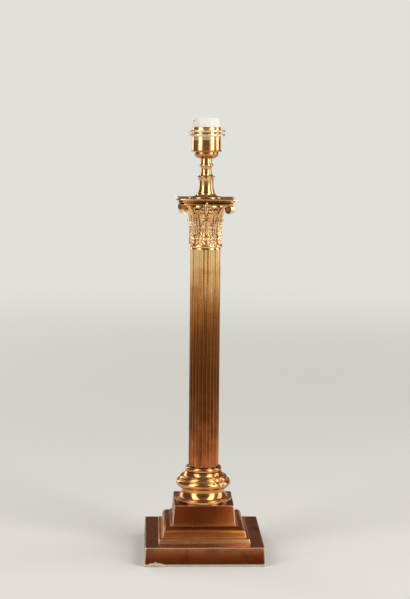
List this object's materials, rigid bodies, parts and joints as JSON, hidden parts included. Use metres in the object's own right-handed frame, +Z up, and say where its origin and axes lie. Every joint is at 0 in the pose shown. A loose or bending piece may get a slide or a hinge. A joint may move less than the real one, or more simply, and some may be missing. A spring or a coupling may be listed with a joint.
{
  "type": "table lamp",
  "caption": "Table lamp in the form of a Corinthian column: stepped square base, turned round base, fluted shaft, leafed capital, slim neck and bayonet lampholder with shade rings.",
  "frame": {"origin": "bottom centre of the square base, on the table", "axes": "+Z up along the column, -Y towards the front, +X to the right seen from the front, +Y to the back, where the cable leaves"},
  "size_m": [0.121, 0.121, 0.4433],
  "materials": {
    "aged_brass": "old lacquered brass, darkened to red-brown",
    "cast_brass": "cast and chased brass, dark in the hollows",
    "bright_brass": "turned and polished brass, lightly tarnished",
    "plated_steel": "zinc-plated steel",
    "cast_iron": "rough cast iron",
    "white_moulding": "hard glossy off-white moulding",
    "grommet_rubber": "plain black rubber",
    "felt": "worn green-beige felt"
  },
  "bodies": {
    "lamp": {"felt_pad": "felt", "base_cover": "plated_steel", "cover_screws": "plated_steel", "base_weight": "cast_iron", "plinth": "aged_brass", "cable_grommet": "grommet_rubber", "earth_screw": "bright_brass", "earth_tag": "bright_brass", "pedestal": "aged_brass", "round_base": "aged_brass", "column": "aged_brass", "lower_column_bush": "aged_brass", "upper_column_bush": "aged_brass", "capital": "cast_brass", "abacus_plate": "bright_brass", "neck": "bright_brass", "tie_tube": "plated_steel", "bottom_washer": "plated_steel", "bottom_lock_washer": "plated_steel", "bottom_nut": "bright_brass", "lampholder_cap": "bright_brass", "cap_grub_screw": "plated_steel", "lampholder_shell": "bright_brass", "lamp_insert": "white_moulding", "terminal_block": "white_moulding", "contact_barrels": "bright_brass", "terminal_screws": "bright_brass", "live_spring": "plated_steel", "neutral_spring": "plated_steel"},
    "live_plunger": {"live_plunger": "bright_brass"},
    "neutral_plunger": {"neutral_plunger": "bright_brass"},
    "upper_shade_ring": {"upper_shade_ring": "bright_brass"},
    "lower_shade_ring": {"lower_shade_ring": "bright_brass"}
  },
  "joints": [
    {"name": "live_contact_press", "type": "slide", "parent": "lamp", "child": "live_plunger", "axis": [0, 0, -1], "range_m": [0, 0.0035], "stiffness_N_per_m": 700, "springref_m": -0.0015, "deforming": ["live_spring"]},
    {"name": "neutral_contact_press", "type": "slide", "parent": "lamp", "child": "neutral_plunger", "axis": [0, 0, -1], "range_m": [0, 0.0035], "stiffness_N_per_m": 700, "springref_m": -0.0015, "deforming": ["neutral_spring"]},
    {"name": "upper_ring_travel", "type": "slide", "parent": "lamp", "child": "upper_shade_ring", "axis": [0, 0, 1], "range_m": [-0.0008, 0.0146]},
    {"name": "lower_ring_travel", "type": "slide", "parent": "lamp", "child": "lower_shade_ring", "axis": [0, 0, 1], "range_m": [-0.0058, 0.0008]}
  ]
}
